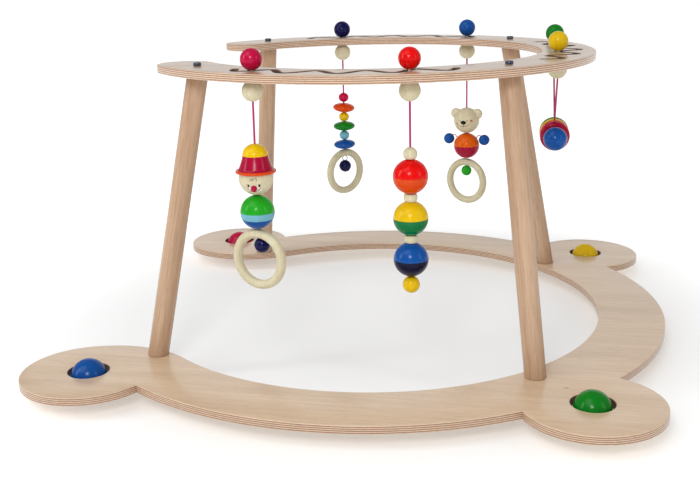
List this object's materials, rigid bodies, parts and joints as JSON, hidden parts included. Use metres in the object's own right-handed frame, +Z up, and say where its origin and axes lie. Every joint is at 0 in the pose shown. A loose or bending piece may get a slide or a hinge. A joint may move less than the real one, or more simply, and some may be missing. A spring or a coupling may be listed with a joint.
{
  "type": "baby play gym",
  "caption": "Wooden play gym: horseshoe base with rolling balls, leaning posts and a slotted top ring with sliding, hanging bead toys.",
  "frame": {"origin": "on the floor, under the middle of the object's box", "axes": "+Z up from the floor, +Y along the slightly longer side of the base, from the front to the back; the open side of both boards faces -X"},
  "size_m": [0.908, 0.93, 0.4833],
  "materials": {
    "plywood": "clear satin lacquer over birch plywood",
    "beech": "clear satin lacquer over beech",
    "bare_wood": "clear lacquer over pale wood",
    "pink": "glossy paint on wood",
    "red": "glossy paint on wood",
    "orange": "glossy paint on wood",
    "yellow": "glossy paint on wood",
    "green": "glossy paint on wood",
    "blue": "glossy paint on wood",
    "dark_blue": "glossy paint on wood",
    "cord": "braided cord",
    "steel": "zinc plated"
  },
  "bodies": {
    "frame": {"base_board": "plywood", "top_board": "plywood", "leg_front_left": "beech", "leg_bolt_front_left": "steel", "foot_front_left": "beech", "leg_front_right": "beech", "leg_bolt_front_right": "steel", "foot_front_right": "beech", "leg_back_right": "beech", "leg_bolt_back_right": "steel", "foot_back_right": "beech", "leg_back_left": "beech", "leg_bolt_back_left": "steel", "foot_back_left": "beech"},
    "rolling_ball_front_left": {"base_ball_front_left": "blue"},
    "rolling_ball_front_right": {"base_ball_front_right": "green"},
    "rolling_ball_back_right": {"base_ball_back_right": "yellow"},
    "rolling_ball_back_left": {"base_ball_back_left": "pink"},
    "clown_slider": {"slider_ball_clown": "pink", "guide_ball_clown": "bare_wood"},
    "clown_toy": {"clown_cord": "cord", "clown_hat": "pink", "clown_head": "bare_wood", "clown_body": "green"},
    "clown_grab_ring": {"clown_ring": "bare_wood"},
    "clown_bell": {"clown_bell": "dark_blue"},
    "chain_slider": {"slider_ball_chain": "red", "guide_ball_chain": "bare_wood"},
    "chain_toy": {"chain_cord": "cord", "chain_end_bead": "yellow"},
    "chain_red_ball": {"chain_ball_red": "red"},
    "chain_yellow_ball": {"chain_ball_yellow": "yellow"},
    "chain_blue_ball": {"chain_ball_blue": "blue"},
    "rainbow_slider": {"slider_ball_rainbow": "dark_blue", "guide_ball_rainbow": "bare_wood"},
    "rainbow_toy": {"rainbow_cord": "cord"},
    "rainbow_orange_disc": {"rainbow_disc_orange": "orange"},
    "rainbow_green_disc": {"rainbow_disc_green": "green"},
    "rainbow_blue_disc": {"rainbow_disc_blue": "blue"},
    "rainbow_grab_ring": {"rainbow_ring": "bare_wood"},
    "rainbow_bell": {"rainbow_bell": "dark_blue"},
    "bear_slider": {"slider_ball_bear": "blue", "guide_ball_bear": "bare_wood"},
    "bear_toy": {"bear_cord": "cord", "bear_head": "bare_wood", "bear_body": "orange"},
    "bear_left_hand": {"bear_hand_left": "blue"},
    "bear_right_hand": {"bear_hand_right": "blue"},
    "bear_grab_ring": {"bear_ring": "bare_wood"},
    "bear_bead": {"bear_bead": "green"},
    "bar_sliders": {"slider_ball_bar_front": "yellow", "guide_ball_bar_front": "bare_wood", "slider_ball_bar_rear": "green", "guide_ball_bar_rear": "bare_wood"},
    "bar_toy": {"bar_cord_front": "cord", "bar_cord_rear": "cord", "bar_ball_front": "blue", "bar_disc_front": "pink", "bar_discs": "orange", "bar_ball_rear": "blue"}
  },
  "joints": [
    {"name": "base_ball_front_left_spin", "type": "hinge", "parent": "frame", "child": "rolling_ball_front_left", "pos_m": [-0.359, -0.348, 0.027], "axis": [0.7071, -0.7071, 0], "continuous": true},
    {"name": "base_ball_front_right_spin", "type": "hinge", "parent": "frame", "child": "rolling_ball_front_right", "pos_m": [0.337, -0.348, 0.027], "axis": [0.7071, 0.7071, 0], "continuous": true},
    {"name": "base_ball_back_right_spin", "type": "hinge", "parent": "frame", "child": "rolling_ball_back_right", "pos_m": [0.337, 0.348, 0.027], "axis": [-0.7071, 0.7071, 0], "continuous": true},
    {"name": "base_ball_back_left_spin", "type": "hinge", "parent": "frame", "child": "rolling_ball_back_left", "pos_m": [-0.359, 0.348, 0.027], "axis": [-0.7071, -0.7071, 0], "continuous": true},
    {"name": "clown_slide", "type": "slide", "parent": "frame", "child": "clown_slider", "axis": [0.8746, 0.4848, 0], "range_m": [-0.0165, 0.0275]},
    {"name": "clown_toy_swing", "type": "hinge", "parent": "clown_slider", "child": "clown_toy", "pos_m": [-0.11712, -0.29158, 0.4117], "axis": [0.9397, -0.342, 0], "range_deg": [-20, 20]},
    {"name": "clown_ring_swing", "type": "hinge", "parent": "clown_toy", "child": "clown_grab_ring", "pos_m": [-0.11712, -0.29158, 0.22895], "axis": [0.9511, -0.309, 0], "range_deg": [-35, 35]},
    {"name": "clown_bell_swing", "type": "hinge", "parent": "clown_grab_ring", "child": "clown_bell", "pos_m": [-0.11465, -0.28397, 0.22895], "axis": [0.9511, -0.309, 0], "range_deg": [-10, 45]},
    {"name": "chain_slide", "type": "slide", "parent": "frame", "child": "chain_slider", "axis": [0.3746, 0.9272, 0], "range_m": [-0.035, 0.009]},
    {"name": "chain_toy_swing", "type": "hinge", "parent": "chain_slider", "child": "chain_toy", "pos_m": [0.09304, -0.27826, 0.4117], "axis": [0.9367, 0.3502, 0], "range_deg": [-20, 20]},
    {"name": "chain_ball_red_spin", "type": "hinge", "parent": "chain_toy", "child": "chain_red_ball", "pos_m": [0.09304, -0.27826, 0.3112], "axis": [0, 0, 1], "continuous": true},
    {"name": "chain_ball_yellow_spin", "type": "hinge", "parent": "chain_toy", "child": "chain_yellow_ball", "pos_m": [0.09304, -0.27826, 0.254], "axis": [0, 0, 1], "continuous": true},
    {"name": "chain_ball_blue_spin", "type": "hinge", "parent": "chain_toy", "child": "chain_blue_ball", "pos_m": [0.09304, -0.27826, 0.1968], "axis": [0, 0, 1], "continuous": true},
    {"name": "rainbow_slide", "type": "slide", "parent": "frame", "child": "rainbow_slider", "axis": [0.3746, 0.9272, 0], "range_m": [-0.0055, 0.0385]},
    {"name": "rainbow_toy_swing", "type": "hinge", "parent": "rainbow_slider", "child": "rainbow_toy", "pos_m": [-0.11648, 0.27479, 0.4117], "axis": [-0.9336, -0.3584, 0], "range_deg": [-20, 20]},
    {"name": "rainbow_disc_orange_spin", "type": "hinge", "parent": "rainbow_toy", "child": "rainbow_orange_disc", "pos_m": [-0.11648, 0.27479, 0.3227], "axis": [0, 0, 1], "continuous": true},
    {"name": "rainbow_disc_green_spin", "type": "hinge", "parent": "rainbow_toy", "child": "rainbow_green_disc", "pos_m": [-0.11648, 0.27479, 0.2877], "axis": [0, 0, 1], "continuous": true},
    {"name": "rainbow_disc_blue_spin", "type": "hinge", "parent": "rainbow_toy", "child": "rainbow_blue_disc", "pos_m": [-0.11648, 0.27479, 0.2527], "axis": [0, 0, 1], "continuous": true},
    {"name": "rainbow_ring_swing", "type": "hinge", "parent": "rainbow_toy", "child": "rainbow_grab_ring", "pos_m": [-0.11648, 0.27479, 0.2368], "axis": [0.6157, 0.788, 0], "range_deg": [-35, 35]},
    {"name": "rainbow_bell_swing", "type": "hinge", "parent": "rainbow_grab_ring", "child": "rainbow_bell", "pos_m": [-0.11648, 0.27479, 0.2368], "axis": [0.6157, 0.788, 0], "range_deg": [-45, 45]},
    {"name": "bear_slide", "type": "slide", "parent": "frame", "child": "bear_slider", "axis": [0.9205, 0.3907, 0], "range_m": [-0.029, 0.0015]},
    {"name": "bear_toy_swing", "type": "hinge", "parent": "bear_slider", "child": "bear_toy", "pos_m": [0.11254, 0.29826, 0.4117], "axis": [-0.9239, 0.3827, 0], "range_deg": [-20, 20]},
    {"name": "bear_hand_left_swing", "type": "hinge", "parent": "bear_toy", "child": "bear_left_hand", "pos_m": [0.09056, 0.30253, 0.2575], "axis": [0, 0, 1], "range_deg": [-25, 25]},
    {"name": "bear_hand_right_swing", "type": "hinge", "parent": "bear_toy", "child": "bear_right_hand", "pos_m": [0.13453, 0.29398, 0.2575], "axis": [0, 0, 1], "range_deg": [-25, 25]},
    {"name": "bear_ring_swing", "type": "hinge", "parent": "bear_toy", "child": "bear_grab_ring", "pos_m": [0.11254, 0.29826, 0.21855], "axis": [0.891, -0.454, 0], "range_deg": [-35, 35]},
    {"name": "bear_bead_swing", "type": "hinge", "parent": "bear_grab_ring", "child": "bear_bead", "pos_m": [0.11254, 0.29826, 0.21855], "axis": [0.891, -0.454, 0], "range_deg": [-45, 45]},
    {"name": "bar_slide", "type": "slide", "parent": "frame", "child": "bar_sliders", "axis": [0.2419, 0.9703, 0], "range_m": [-0.0035, 0.007]},
    {"name": "bar_toy_swing", "type": "hinge", "parent": "bar_sliders", "child": "bar_toy", "pos_m": [0.27587, 0.06407, 0.4117], "axis": [-0.0438, 0.999, 0], "range_deg": [-20, 20]}
  ]
}
